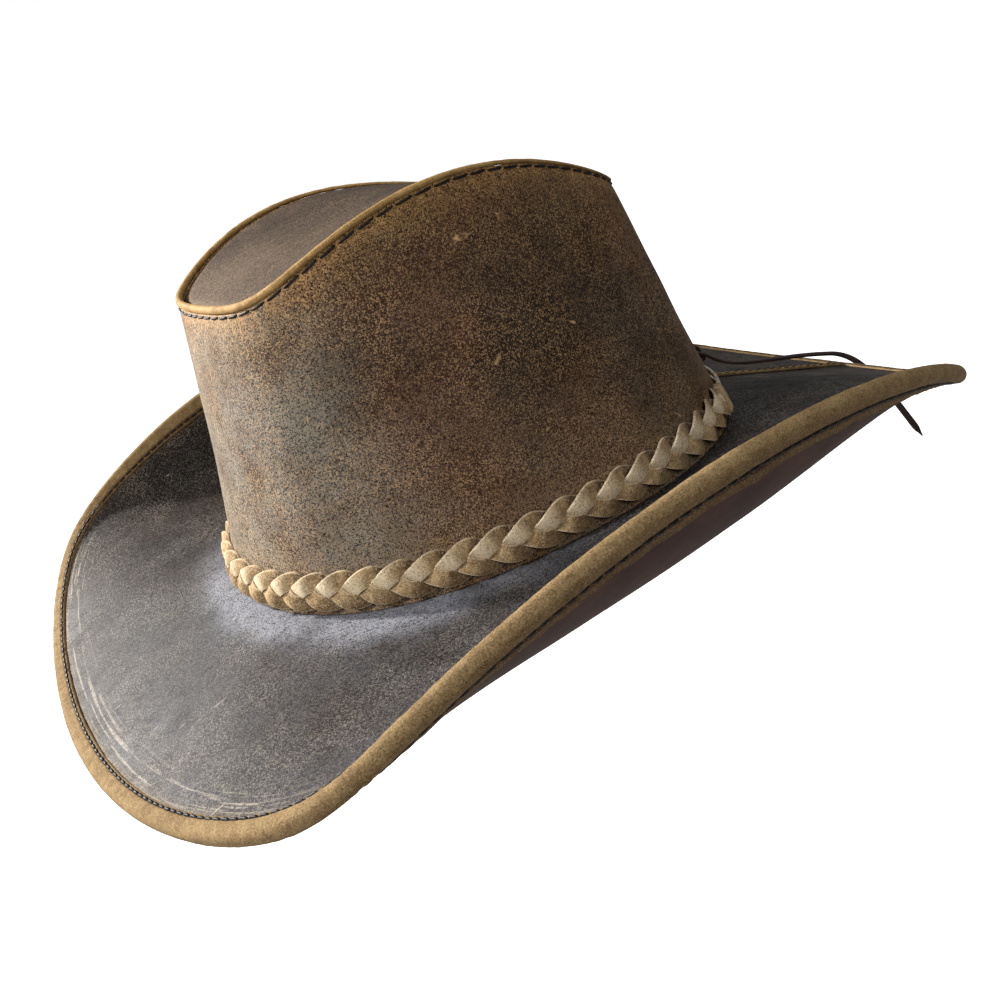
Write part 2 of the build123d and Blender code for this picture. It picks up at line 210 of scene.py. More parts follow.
def scaled(vectors, sizes):
    """Multiply each vector by its own size, or all of them by one."""
    sizes = np.asarray(sizes, float)
    return vectors * (sizes[..., None] if sizes.ndim else sizes)


def outward(curve, angle):
    """Level direction that points straight out of a closed curve."""
    along = curve(angle + TINY) - curve(angle - TINY)
    return unit(np.stack([along[..., 1], -along[..., 0], 0 * angle], -1))


def raised(points, rise):
    moved = points.copy()
    moved[..., 2] += rise
    return moved


def crown_wall(angle, height, lift=0.0):
    """Point on the crown's outer wall, height up its slope and lift off it."""
    base, ring = crown_base(angle), crown_ring(angle)
    share = height / length_of(ring - base)
    return base + scaled(ring - base, share) + scaled(outward(crown_base, angle), lift)


def brim_top(fraction, angle):
    """Top of the brim: fraction 0 at the crown, 1 at the outline."""
    base, edge = crown_base(angle), brim_edge(angle)
    place = base + scaled(edge - base, fraction)
    end_curl = np.where(np.cos(angle) > 0, FRONT_CURL, BACK_CURL)
    curl = end_curl + (SIDE_CURL - end_curl) * np.sin(angle) ** 2
    place[..., 2] = edge[..., 2] * np.maximum(fraction, 1e-9) ** curl
    return place


def brim_outwards(fraction, angle):
    return unit(brim_top(fraction + TINY, angle) - brim_top(fraction, angle))


def brim_normal(fraction, angle):
    along = brim_top(fraction, angle + TINY) - brim_top(fraction, angle - TINY)
    return unit(np.cross(brim_outwards(fraction, angle), along))


def brim_place(fraction, angle, depth):
    """Point that lies depth under the top of the brim."""
    fraction = fraction + 0 * angle
    return brim_top(fraction, angle) - scaled(brim_normal(fraction, angle), depth)


def brim_width(angle):
    return length_of(brim_edge(angle) - crown_base(angle))


def nose_place(angle, reach, depth):
    """Point beyond the cut edge of the brim, on the folded binding."""
    edge_out = brim_outwards(1 - TINY + 0 * angle, angle)
    return brim_place(1 - TINY, angle, depth) + scaled(edge_out, reach)


def wobble(points, size, seed):
    """Smooth noise between about -1 and 1 at each point, with waves of that size."""
    offset = Vector((seed * 7.31, seed * 3.17, seed * 5.71))
    flat = points.reshape(-1, 3) / size
    values = [noise.noise(Vector(point) + offset) for point in flat]
    return np.array(values).reshape(points.shape[:-1])


def even_angles(curve, count, start=0.0, end=FULL_TURN):
    """Angles at equal spacing along a curve, not including its end."""
    dense = np.linspace(start, end, 6001)
    steps = length_of(np.diff(curve(dense), axis=0))
    run = np.concatenate([[0], np.cumsum(steps)])
    return np.interp(np.arange(count) * run[-1] / count, run, dense)


def stitch_angles(curve, count):
    """Angles of a closed row of stitches, with the first one again at its end."""
    angles = even_angles(curve, count)
    return np.append(angles, angles[0] + FULL_TURN)


def sight(azimuth, elevation):
    """Direction from the hat towards a place at that azimuth and elevation, in degrees."""
    turn, tilt = math.radians(azimuth), math.radians(elevation)
    return Vector((math.sin(turn) * math.cos(tilt), -math.cos(turn) * math.cos(tilt),
                   math.sin(tilt)))


# ---------------------------------------- meshes

def add_object(name, data):
    thing = bpy.data.objects.new(name, data)
    bpy.context.scene.collection.objects.link(thing)
    return thing


def new_piece(name, points, faces, material, body, replaced=(), values=None):
    """A mesh object with smooth faces, its attributes, material and body."""
    mesh = bpy.data.meshes.new(name)
    mesh.from_pydata(points.tolist(), [], faces)
    mesh.shade_smooth()
    for key, numbers in (values or {}).items():
        layer = mesh.attributes.new(key, "FLOAT", "POINT")
        layer.data.foreach_set("value", np.asarray(numbers, np.float32).ravel())
    mesh.validate()
    piece = add_object(name, mesh)
    mesh.materials.append(material)
    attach(piece, body)
    if replaced:
        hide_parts(*replaced)
    return piece


def grid_faces(rows, columns, close_rows, close_columns, first=0):
    """Quads of a grid of points, stored row by row."""
    faces = []
    for row in range(rows if close_rows else rows - 1):
        below = first + row * columns
        above = first + (row + 1) % rows * columns
        for column in range(columns if close_columns else columns - 1):
            after = (column + 1) % columns
            faces.append((below + column, below + after, above + after, above + column))
    return faces


def ring_piece(name, rows, material, body, replaced=(), values=None):
    """A closed section followed all round the hat: each row is one closed curve of it."""
    points = np.array(rows)
    faces = grid_faces(len(points), points.shape[1], True, True)
    return new_piece(name, points.reshape(-1, 3), faces, material, body, replaced, values)


def strip_points(sections):
    """Points and faces of a closed bar through sections of equal size."""
    sections = np.array(sections)
    count, size = sections.shape[:2]
    faces = grid_faces(count, size, False, True)
    faces.append(tuple(reversed(range(size))))
    faces.append(tuple(range((count - 1) * size, count * size)))
    return sections.reshape(-1, 3), faces


def joined(parts):
    """Put several (points, faces) pairs into one."""
    points, faces, first = [], [], 0
    for part_points, part_faces in parts:
        points.append(part_points)
        faces += [tuple(corner + first for corner in face) for face in part_faces]
        first += len(part_points)
    return np.concatenate(points), faces


# ---------------------------------------- materials

class Shader:
    """One material under construction: adds nodes and wires them to its Principled surface."""

    def __init__(self, name, roughness, specular=0.5):
        self.material = bpy.data.materials.new(name)
        self.material.use_nodes = True
        self.tree = self.material.node_tree
        self.surface = self.tree.nodes["Principled BSDF"]
        self.surface.inputs["Specular IOR Level"].default_value = specular
        self.place = self.tree.nodes.new("ShaderNodeTexCoord").outputs["Object"]
        self.plug(self.surface.inputs["Roughness"], roughness)

    def plug(self, socket, value):
        if isinstance(value, bpy.types.NodeSocket):
            self.tree.links.new(value, socket)
        elif isinstance(value, tuple):
            socket.default_value = (*value, 1.0)
        else:
            socket.default_value = value

    def attribute(self, name):
        node = self.tree.nodes.new("ShaderNodeAttribute")
        node.attribute_name = name
        return node.outputs["Fac"]

    def noise(self, size, detail=3.0, roughness=0.6, stretch=(1, 1, 1), shift=0.0):
        """Noise with features of about that size, in metres."""
        mapping = self.tree.nodes.new("ShaderNodeMapping")
        mapping.inputs["Scale"].default_value = [1 / (size * way) for way in stretch]
        mapping.inputs["Location"].default_value = (shift, shift, shift)
        self.plug(mapping.inputs["Vector"], self.place)
        node = self.tree.nodes.new("ShaderNodeTexNoise")
        node.inputs["Scale"].default_value = 1.0
        node.inputs["Detail"].default_value = detail
        node.inputs["Roughness"].default_value = roughness
        self.plug(node.inputs["Vector"], mapping.outputs["Vector"])
        return node.outputs["Fac"]

    def grains(self, size):
        """A random value for each small grain of about that size, in metres."""
        node = self.tree.nodes.new("ShaderNodeTexVoronoi")
        node.inputs["Scale"].default_value = 1 / size
        self.plug(node.inputs["Vector"], self.place)
        split = self.tree.nodes.new("ShaderNodeSeparateColor")
        self.plug(split.inputs["Color"], node.outputs["Color"])
        return split.outputs["Red"]

    def streaks(self, along, across):
        """Noise drawn out along the brim's edge, from the mesh's round and inward attributes."""
        vector = self.tree.nodes.new("ShaderNodeCombineXYZ")
        self.plug(vector.inputs["X"], self.maths("MULTIPLY", self.attribute("round"), 1 / along))
        self.plug(vector.inputs["Y"], self.maths("MULTIPLY", self.attribute("inward"), 1 / across))
        node = self.tree.nodes.new("ShaderNodeTexNoise")
        node.inputs["Scale"].default_value = 1.0
        node.inputs["Detail"].default_value = 2.0
        self.plug(node.inputs["Vector"], vector.outputs["Vector"])
        return node.outputs["Fac"]

    def between(self, value, low, high, out_low=0.0, out_high=1.0):
        """Stretch a value's range from low..high to out_low..out_high, held at its ends."""
        node = self.tree.nodes.new("ShaderNodeMapRange")
        node.interpolation_type = "SMOOTHSTEP"
        for key, number in (("From Min", low), ("From Max", high),
                            ("To Min", out_low), ("To Max", out_high)):
            node.inputs[key].default_value = number
        self.plug(node.inputs["Value"], value)
        return node.outputs["Result"]

    def maths(self, operation, one, two):
        node = self.tree.nodes.new("ShaderNodeMath")
        node.operation = operation
        self.plug(node.inputs[0], one)
        self.plug(node.inputs[1], two)
        return node.outputs[0]

    def mix(self, factor, one, two):
        node = self.tree.nodes.new("ShaderNodeMix")
        node.data_type = "RGBA"
        self.plug(node.inputs["Factor"], factor)
        self.plug(node.inputs[6], one)
        self.plug(node.inputs[7], two)
        return node.outputs[2]

    def colour(self, value):
        self.plug(self.surface.inputs["Base Color"], value)

    def bump(self, height, strength, distance):
        node = self.tree.nodes.new("ShaderNodeBump")
        node.inputs["Strength"].default_value = strength
        node.inputs["Distance"].default_value = distance
        self.plug(node.inputs["Height"], height)
        if self.surface.inputs["Normal"].is_linked:
            before = self.surface.inputs["Normal"].links[0].from_socket
            self.plug(node.inputs["Normal"], before)
        self.plug(self.surface.inputs["Normal"], node.outputs["Normal"])

    def sheen(self, weight, roughness, tint):
        self.surface.inputs["Sheen Weight"].default_value = weight
        self.surface.inputs["Sheen Roughness"].default_value = roughness
        self.surface.inputs["Sheen Tint"].default_value = (*tint, 1.0)


def speckled_leather(name, dark, warm, bloom_and_sheen, gold, wear, roughness, specular, speckle):
    """Oiled pull-up leather: two mottled browns, golden grain, worn places, a grey that is partly
    the leather's wax film and partly painted sheen, and painted shade in its creases.

    The mesh gives three amounts: how grey a place is, partly from the leather's wax film and partly
    painted sheen and painted reflection where the lamps fall; wear, how rubbed; and scuff, how much
    it shows long scratches. Those follow the brim's edge by its attributes round and inward.
    """
    s = Shader(name, roughness, specular)
    worn, grey_and_sheen_amount = s.attribute("wear"), s.attribute("bloom_and_sheen")
    mottle = s.between(s.noise(0.045, 4, 0.6), 0.36, 0.66)
    colour = s.mix(mottle, dark, warm)
    # Grey where the mesh asks for it: partly the leather's wax film, partly painted sheen and
    # painted reflection where the lamps fall.
    haze = s.maths("MULTIPLY", grey_and_sheen_amount, s.between(s.noise(0.03, 4, 0.6, shift=4), 0.3, 0.6, 0.25, 1.0))
    colour = s.mix(haze, colour, bloom_and_sheen)
    creases = s.noise(0.007, 4, 0.6, stretch=(0.6, 1.8, 1.2), shift=9)
    # Painted shade in the creases: darker where the crease noise lies low, in the grooves of its
    # bump.
    colour = s.mix(s.between(creases, 0.3, 0.46, 0.4, 0.0), colour, dark)
    rubbed = s.maths("MULTIPLY", worn, s.between(s.noise(0.004, 5, 0.75, shift=3), 0.25, 0.6))
    colour = s.mix(rubbed, colour, wear)
    grain = s.grains(GRAIN_SIZE)
    patches = s.between(s.noise(0.025, 3, 0.5, shift=2), 0.36, 0.62, 0.45, 1.0)
    flecks = s.maths("MULTIPLY", s.between(grain, 0.6, 0.95), s.maths("MAXIMUM", patches, worn))
    colour = s.mix(s.maths("MULTIPLY", flecks, speckle), colour, gold)
    colour = s.mix(s.between(grain, 0.08, 0.48, 0.9, 0.0), colour, dark)
    scratch = s.between(s.noise(0.004, 3, 0.55, stretch=(0.35, 3.0, 3.0), shift=1), 0.68, 0.74)
    rare = s.between(s.noise(0.03, 2, 0.5, shift=7), 0.52, 0.62)
    colour = s.mix(s.maths("MULTIPLY", scratch, rare), colour, gold)
    arcs = s.maths("MULTIPLY", s.between(s.streaks(0.22, 1.3), 0.54, 0.61), s.attribute("scuff"))
    arcs = s.maths("MULTIPLY", arcs, s.between(s.noise(0.0016, 3, 0.7, shift=5), 0.36, 0.5))
    colour = s.mix(arcs, colour, gold)
    s.colour(colour)
    shine = s.between(s.noise(0.01, 4, 0.7, shift=6), 0.3, 0.7, roughness - 0.08, roughness + 0.1)
    s.plug(s.surface.inputs["Roughness"], shine)
    s.bump(grain, 0.25, 0.0002)
    s.bump(creases, 0.3, 0.0008)
    return s.material


def suede(name, deep, light, pale, dark_grain_and_shade, roughness=0.85):
    """Napped leather with a fine grain.

    The mesh gives two attributes: one for where it is pale, at cut edges and, on the braid, in a
    highlight that is partly painted light; one for painted shade, where it is dark.
    """
    s = Shader(name, roughness, 0.12)
    grain = s.grains(GRAIN_SIZE)
    colour = s.mix(s.between(s.noise(0.006, 4, 0.65), 0.34, 0.66), deep, light)
    colour = s.mix(s.attribute("cut"), colour, pale)
    # Painted shade: in the binding's stitch groove and under the brim's edge, and where braid
    # strands go under each other.
    colour = s.mix(s.attribute("painted_shade"), colour, dark_grain_and_shade)
    colour = s.mix(s.between(grain, 0.65, 1.0, 0.0, 0.3), colour, pale)
    colour = s.mix(s.between(grain, 0.0, 0.45, 0.5, 0.0), colour, dark_grain_and_shade)
    s.colour(colour)
    s.sheen(0.2, 0.5, light)
    s.bump(grain, 0.3, 0.0003)
    s.bump(s.noise(0.004, 4, 0.6, shift=5), 0.3, 0.0008)
    return s.material


def smooth_leather(name, deep, light, roughness):
    """Plain smooth leather with faint mottling and pores."""
    s = Shader(name, roughness, 0.2)
    colour = s.mix(s.between(s.noise(0.02, 5, 0.6), 0.3, 0.7), deep, light)
    s.colour(colour)
    s.bump(s.noise(0.0012, 3, 0.6, shift=2), 0.2, 0.0003)
    s.bump(s.noise(0.012, 3, 0.6, shift=5), 0.2, 0.0012)
    return s.material


def thread_material():
    s = Shader("waxed_thread", 0.5, 0.2)
    fibres = s.between(s.noise(0.0006, 2), 0.4, 0.6)
    s.colour(s.mix(fibres, (0.004, 0.004, 0.005), (0.018, 0.017, 0.018)))
    s.bump(s.noise(0.0004, 2, shift=2), 0.5, 0.0002)
    return s.material


def steel():
    s = Shader("wire_steel", 0.35)
    s.surface.inputs["Metallic"].default_value = 1.0
    s.colour(s.mix(s.noise(0.003), (0.42, 0.42, 0.43), (0.55, 0.55, 0.56)))
    return s.material


# The grey colour each leather gets where its mesh asks: on crown and tip partly the leather's wax
# film and partly painted sheen, on the brim a bluish painted sheen and painted reflection.
CROWN = speckled_leather(
    "crown_leather", dark=(0.015, 0.006, 0.0035), warm=(0.092, 0.039, 0.021),
    bloom_and_sheen=(0.185, 0.174, 0.145), gold=(0.62, 0.38, 0.18), wear=(0.36, 0.20, 0.07),
    roughness=0.65, specular=0.10, speckle=0.55)
TIP = speckled_leather(
    "tip_leather", dark=(0.011, 0.006, 0.004), warm=(0.030, 0.017, 0.011),
    bloom_and_sheen=(0.090, 0.062, 0.040), gold=(0.26, 0.17, 0.09), wear=(0.18, 0.10, 0.04),
    roughness=0.65, specular=0.12, speckle=0.5)
BRIM = speckled_leather(
    "brim_leather", dark=(0.005, 0.0035, 0.003), warm=(0.017, 0.010, 0.007),
    bloom_and_sheen=(0.205, 0.211, 0.242), gold=(0.28, 0.24, 0.19), wear=(0.20, 0.125, 0.05),
    roughness=0.55, specular=0.11, speckle=0.5)
BINDING = suede("binding_suede", (0.150, 0.092, 0.038), (0.225, 0.150, 0.066), (0.44, 0.32, 0.17),
                (0.042, 0.018, 0.010))
WELT = suede("welt_suede", (0.20, 0.105, 0.030), (0.37, 0.225, 0.080), (0.54, 0.37, 0.16),
             (0.085, 0.042, 0.015), 0.7)
BRAID = suede("braid_suede", (0.21, 0.130, 0.058), (0.42, 0.285, 0.14), (0.86, 0.73, 0.52),
              (0.038, 0.018, 0.007))
LACE = suede("pale_lace", (0.30, 0.24, 0.15), (0.5, 0.44, 0.34), (0.7, 0.64, 0.52),
             (0.12, 0.08, 0.04))
UNDER = smooth_leather("under_leather", (0.034, 0.012, 0.008), (0.060, 0.023, 0.016), 0.7)
LINING = smooth_leather("lining_leather", (0.10, 0.06, 0.035), (0.16, 0.10, 0.06), 0.5)
DARK_LACE = smooth_leather("dark_lace", (0.018, 0.009, 0.006), (0.04, 0.02, 0.013), 0.45)
THREAD = thread_material()
STEEL = steel()


# ---------------------------------------- crown

WALL = around(900)


def wall_slope(angle):
    return length_of(crown_ring(angle) - crown_base(angle))


def wall_shape(angle, share, inside):
    """Outer or inner face of the crown wall: share 0 at its foot, 1 at the seam ring."""
    place = crown_wall(angle, share * wall_slope(angle))
    soft = wobble(place, 0.055, 1) * 0.9 * MM + wobble(place, 0.018, 2) * 0.22 * MM
    soft = soft * np.sin(np.pi * min(share, 1)) ** 0.5 if share > 0 else soft * 0
    pinch = SEAM_PINCH * hump(1 - share, SEAM_PINCH_SHARE)
    depth = CROWN_LEATHER - soft if inside else pinch - soft
    return place - scaled(outward(crown_base, angle), depth)


def make_crown_wrap():
    shares = np.concatenate([np.linspace(0, 0.9, 40), np.linspace(0.92, 1, 12)])
    collar = raised(crown_base(WALL), -COLLAR_DEPTH)
    inner_collar = collar - scaled(outward(crown_base, WALL), CROWN_LEATHER)
    outer = [wall_shape(WALL, share, False) for share in shares]
    inner = [wall_shape(WALL, share, True) for share in shares[::-1]]
    rows = [collar, *outer, *inner, inner_collar]
    rubbed, grey_and_sheen_amount = [], []
    for row in rows:
        below = (crown_ring(WALL)[:, 2] - row[:, 2]) / MM
        above = row[:, 2] / MM
        top = 0.85 * fading(below, 4.5) + 0.3 * fading(below, 18)
        foot = 0.25 * fading(above - 14, 14)
        rubbed.append(np.clip(top + foot, 0, 1))
        # Greyer at the front and towards the foot: partly the leather's wax film, partly painted
        # sheen where the lamps fall.
        front = ramp(np.cos(WALL + 0.1), 0.35, 0.8)
        low = 0.6 * fading(above, 25)
        grey_and_sheen_amount.append(np.clip(front + low * (np.cos(WALL) > -0.6) + 0.12, 0, 1))
    values = {"wear": rubbed, "bloom_and_sheen": grey_and_sheen_amount}
    ring_piece("crown_wall", rows, CROWN, "hat", ["crown_wrap"], values)


def welt_height(angle):
    """Height of the welt over the seam ring: tallest at the front, lowest at the back."""
    return WELT_HEIGHT + WELT_FRONT_RISE * np.cos(angle)


def tip_place(share, angle, drop):
    """Point on the tip panel: share 1 at the seam ring, 0 in the middle of the panel."""
    rim = crown_ring(angle) - scaled(outward(crown_ring, angle), CROWN_LEATHER)
    rim = raised(rim, TIP_RIM_SHARE * welt_height(angle))
    middle = np.array([0, RING_Y_CENTRE, TIP_CENTRE_Z])
    place = middle + (rim - middle) * share
    place[:, 2] = middle[2] + (rim[:, 2] - middle[2]) * share ** TIP_ARCH - drop
    place[:, 2] -= 1.0 * MM * hump(1 - share, 0.035)
    place[:, 2] += wobble(place * [1, 1, 0], 0.04, 3) * 0.8 * MM * (1 - share ** 8)
    return place


def make_crown_tip():
    shares = np.concatenate([np.linspace(1, 0.9, 10), np.linspace(0.88, 0.03, 40)])
    columns = 480
    angles = around(columns)
    top = [tip_place(share, angles, 0) for share in shares]
    bottom = [tip_place(share, angles, CROWN_LEATHER) for share in shares[::-1]]
    rows = [*bottom, *top]
    points = np.array(rows).reshape(-1, 3)
    faces = grid_faces(len(rows), columns, False, True)
    faces.append(tuple(reversed(range(columns))))
    last = (len(rows) - 1) * columns
    faces.append(tuple(range(last, last + columns)))
    shares_of_rows = np.concatenate([shares[::-1], shares])
    rubbed = np.clip(1.1 * fading(1 - shares_of_rows, 0.03), 0, 1)
    rubbed = np.repeat(rubbed[:, None], columns, 1)
    # Greyer towards the front: partly the leather's wax film, partly painted sheen where the lamps
    # fall.
    front = np.clip(np.cos(angles), 0, 1)[None, :] * shares_of_rows[:, None]
    grey_and_sheen_amount = np.clip(0.2 + 1.1 * front ** 1.5, 0, 1)
    new_piece("tip_panel", points, faces, TIP, "hat", ["crown_tip"],
              {"wear": rubbed, "bloom_and_sheen": grey_and_sheen_amount})


def make_welt():
    """Rolled leather piping that stands up round the tip."""
    corners = 14
    rows = []
    for corner in range(corners):
        turn = FULL_TURN * corner / corners
        across = 0.75 * MM + 1.3 * MM * math.cos(turn)
        up = (welt_height(WALL) + 0.3 * MM) * (0.5 + 0.5 * math.sin(turn))
        row = crown_ring(WALL) - scaled(outward(crown_ring, WALL), across)
        row = raised(row, up)
        rough = wobble(row, 0.004, 4) * 0.13 * MM + wobble(row, 0.03, 5) * 0.15 * MM
        row = row + scaled(outward(crown_ring, WALL), rough * math.cos(turn))
        rows.append(raised(row, rough * math.sin(turn)))
    cut = np.full((corners, len(WALL)), 0.15)
    ring_piece("tip_piping", rows, WELT, "hat", ["tip_welt"], {"cut": cut})


# ---------------------------------------- stitches

def stitch(start, end, normal, radius, sink):
    """One stitch: a thread that comes out at start, lies on the leather and goes in at end."""
    along = (end - start) / np.linalg.norm(end - start)
    side = np.cross(normal, along)
    length = np.linalg.norm(end - start)
    sections = []
    for share in (0.0, 0.06, 0.2, 0.4, 0.6, 0.8, 0.94, 1.0):
        arch = 1 - abs(2 * share - 1) ** 4
        size = radius * (0.45 + 0.55 * arch ** 0.5)
        centre = start + along * length * share + normal * (radius * 1.1 * arch - sink)
        twist = 5 * share
        ring = []
        for corner in range(8):
            turn = FULL_TURN * corner / 8 + twist
            bulge = 1 + 0.12 * math.cos(2 * turn)
            ring.append(centre + size * bulge * (side * math.cos(turn) + normal * math.sin(turn)))
        sections.append(ring)
    return strip_points(sections)


def stitch_row(name, path, normals, radius, sink, node, share=STITCH_SHARE, slant=0.0):
    """A stitch between each two neighbours on a path, filling a share of the gap."""
    parts = []
    for index in range(len(path) - 1):
        here, there, normal = path[index], path[index + 1], normals[index]
        gap = there - here
        aside = np.cross(normal, gap / np.linalg.norm(gap)) * slant
        start = here + gap * (1 - share) / 2 - aside
        end = there - gap * (1 - share) / 2 + aside
        parts.append(stitch(start, end, normal, radius, sink))
    points, faces = joined(parts)
    new_piece(name, points, faces, THREAD, "hat", [node])


def make_tip_stitches():
    angles = stitch_angles(crown_ring, TIP_STITCHES)
    path = crown_wall(angles, wall_slope(angles) - TIP_STITCH_DROP)
    stitch_row("tip_stitches", path, outward(crown_base, angles), 0.42 * MM, 0.25 * MM,
               "tip_thread", slant=0.18 * MM)


def make_crown_back_stitches():
    parts = []
    for side in (-1, 1):
        shift = np.array([side * BACK_STITCH_ASIDE, 0, 0])
        for index in range(BACK_STITCHES):
            low = BACK_STITCH_FOOT + BACK_STITCH_PITCH * index
            start, end = (crown_wall(BACK, height, 0.15 * MM) + shift
                          for height in (low, low + BACK_STITCH_LENGTH))
            parts.append(stitch(start, end, np.array([0.0, 1.0, 0.0]), 0.35 * MM, 0))
    points, faces = joined(parts)
    new_piece("crown_back_stitches", points, faces, THREAD, "hat", ["crown_back_thread"])


# ---------------------------------------- brim

ROUND = around(1080)


def brim_wave(points, fraction):
    """Gentle unevenness of the brim's leather, none at the crown and little at the edge."""
    swell = 4 * fraction * (1 - fraction) + 0.25 * fraction
    return wobble(points, 0.07, 6) * 1.1 * MM * swell + wobble(points, 0.02, 7) * 0.18 * MM * swell


def make_brim_layer(name, top, bottom, material, node):
    fractions = np.concatenate([np.linspace(0, 0.06, 6), np.linspace(0.08, 1, 52)])
    waves_at = {fraction: brim_wave(brim_place(fraction, ROUND, 0), fraction)
                for fraction in fractions}
    rows, rubbed, grey_and_sheen_amount, scuffed, inward = [], [], [], [], []
    front = np.clip(np.cos(ROUND), 0, 1)
    # Painted sheen, strongest on the sunny side, and a painted reflection of the lamps in a band by
    # the crown on the lit front.
    sunny = np.clip(0.25 + 0.85 * np.cos(ROUND - SUNNY_SIDE), 0, 1)
    lit = np.clip(np.cos(ROUND - GLOW_SIDE), 0, 1) ** 3
    for depth, order in ((top, fractions), (bottom, fractions[::-1])):
        for fraction in order:
            held = min(1.0, (1 - fraction) / 0.08)
            row = brim_place(fraction, ROUND, depth)
            rows.append(raised(row, waves_at[fraction] * held))
            from_edge = brim_width(ROUND) * (1 - fraction) / MM
            rubbed.append(0.5 * fading(from_edge - 4.5, 1) * (0.3 + front))
            # The brim's grey is all painted light: sheen on the sunny side and the reflection band
            # by the crown.
            grey_and_sheen_amount.append(0.16 * sunny + 3.1 * hump(fraction, GLOW_WIDTH_SHARE) * lit)
            scuffed.append(0.8 * hump(from_edge - 9, 4.5) * ramp(np.cos(ROUND), 0.6, 0.85))
            inward.append(from_edge)
    half_round = np.repeat(np.minimum(ROUND, FULL_TURN - ROUND)[None, :], len(rows), 0)
    values = {"wear": rubbed, "bloom_and_sheen": grey_and_sheen_amount, "scuff": scuffed, "inward": inward,
              "round": half_round}
    ring_piece(name, rows, material, "hat", [node], values)


def make_binding():
    """Leather folded round the brim's edge: a neat leg on top and a ragged flap under it."""
    angles = around(1800)
    width = brim_width(angles)
    edge_line = brim_edge(angles)
    ragged = wobble(edge_line, 0.028, 8) * 1.5 * MM + wobble(edge_line, 0.006, 9) * 0.7 * MM
    flap = FLAP_WIDTH + ragged
    top_edge = BINDING_WIDTH - 0.4 * MM + wobble(edge_line, 0.01, 10) * 0.25 * MM

    def leg(inward, depth_out, below):
        depth = BRIM_STACK + depth_out if below else -depth_out
        return brim_place(1 - inward / width, angles, depth)

    def thickness(inward, groove, edge):
        """Skin thickness: full, pulled in at the stitches and thin at the cut edge."""
        pulled = 0.6 * hump(inward - groove, 0.55 * MM)
        thin = np.clip((edge - inward) / (0.5 * MM), 0.3, 1)
        return BINDING_LEATHER * (1.12 - pulled) * thin

    rows, cut, painted_shade = [], [], []
    for share in np.linspace(1, 0.02, 18):
        inward = top_edge * share
        rows.append(leg(inward, thickness(inward, TOP_STITCH_INSET, top_edge), False))
        cut.append(0.3 if share > 0.97 else 0.0)
        # Painted shade in the stitch groove of the top leg.
        painted_shade.append(0.6 * hump(top_edge.mean() * share - TOP_STITCH_INSET, 0.6 * MM))
    top_rows = len(rows)
    nose_steps = 16
    for step in range(1, nose_steps):
        turn = math.pi * step / nose_steps
        reach = (NOSE_GAP + BINDING_LEATHER) * math.sin(turn) ** 0.9
        half = BRIM_STACK / 2 + BINDING_LEATHER * 1.12
        depth = BRIM_STACK / 2 - half * math.cos(turn)
        rows.append(nose_place(angles, reach, depth))
        cut.append(0.12 * math.sin(turn))
        # Painted shade deepening round the nose towards the underside.
        painted_shade.append(0.35 * (step / nose_steps) ** 3)
    for share in np.linspace(0.02, 1, 26):
        inward = flap * share
        groove = hump(FLAP_WIDTH * share - UNDER_STITCH_INSET, 0.7 * MM)
        # Painted shade under the brim's edge, darker further in and in the stitch groove.
        painted_shade.append(min(0.97, 0.35 + 0.45 * share + 0.7 * groove))
        rows.append(leg(inward, thickness(inward, UNDER_STITCH_INSET, flap), True))
        cut.append(0.25 if share > 0.97 else 0.0)
    outer_rows = len(rows)
    for inward, below, pale in ((flap, True, 0.5), (0.5 * MM, True, 0), (0.5 * MM, False, 0),
                                (top_edge, False, 0.5)):
        rows.append(leg(inward, 0.02 * MM, below))
        cut.append(pale)
        # Painted shade on the inner faces that lie against the brim.
        painted_shade.append(0.5)
    normal = brim_normal(0.97 + 0 * angles, angles)
    for index in range(outer_rows):
        nap = wobble(rows[index], 0.003, 11) * 0.14 * MM
        rough = nap + wobble(rows[index], 0.02, 12) * 0.2 * MM
        sign = 1 if index < top_rows + nose_steps / 2 else -1
        rows[index] = rows[index] + scaled(normal, rough * sign)
    values = {key: np.repeat(np.array(numbers)[:, None], len(angles), 1)
              for key, numbers in (("cut", cut), ("painted_shade", painted_shade))}
    ring_piece("edge_binding_fold", rows, BINDING, "hat",
               ["edge_binding"], values)


def make_edge_stitches():
    angles = stitch_angles(brim_edge, EDGE_STITCHES)
    normal = brim_normal(0.95 + 0 * angles, angles)
    for name, inward, below, node in (
            ("edge_stitches_top", TOP_STITCH_INSET, False, "edge_thread_top"),
            ("edge_stitches_under", UNDER_STITCH_INSET, True, "edge_thread_under")):
        depth = BRIM_STACK + 0.55 * MM if below else -0.55 * MM
        path = brim_place(1 - inward / brim_width(angles), angles, depth)
        facing = -normal if below else normal
        stitch_row(name, path, facing, 0.46 * MM, 0.12 * MM, node)


def seam_strip_place(fraction, across, lift):
    """Point on the strip along the brim's back centre seam."""
    return brim_place(fraction, BACK, -lift) + np.array([across, 0, 0])


